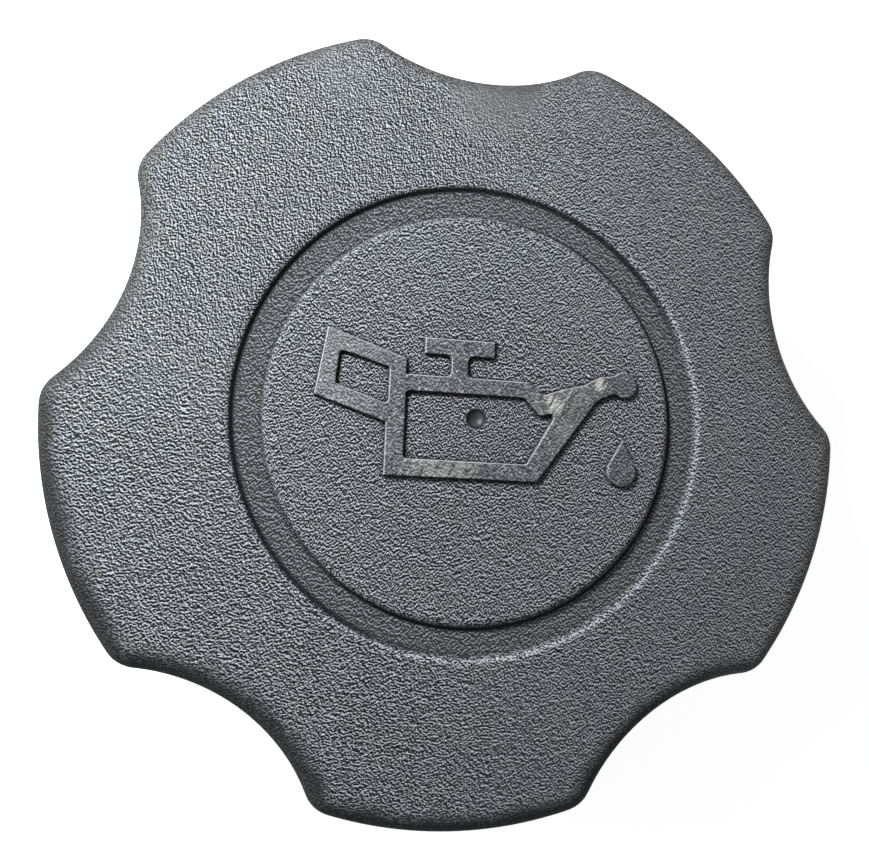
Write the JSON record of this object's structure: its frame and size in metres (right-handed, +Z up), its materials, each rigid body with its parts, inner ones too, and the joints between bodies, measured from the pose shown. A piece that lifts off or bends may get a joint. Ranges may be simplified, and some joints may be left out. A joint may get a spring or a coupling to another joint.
{
  "type": "oil filler cap",
  "caption": "Round plastic oil filler cap with finger scallops, a raised oil can symbol, a bayonet stem and a rubber sealing ring.",
  "frame": {"origin": "on the cap's axis, in the plane of the stem's end", "axes": "+Z up along the cap's axis, from the stem to the domed top; +Y towards the scallop above the symbol"},
  "size_m": [0.08, 0.0781, 0.0284],
  "materials": {
    "cap_plastic": "spark-eroded grain, worn smooth on the symbol and the lobes' edges",
    "seal_rubber": "matt black"
  },
  "bodies": {
    "root": {"cap_body": "cap_plastic", "sealing_ring": "seal_rubber"}
  },
  "joints": []
}
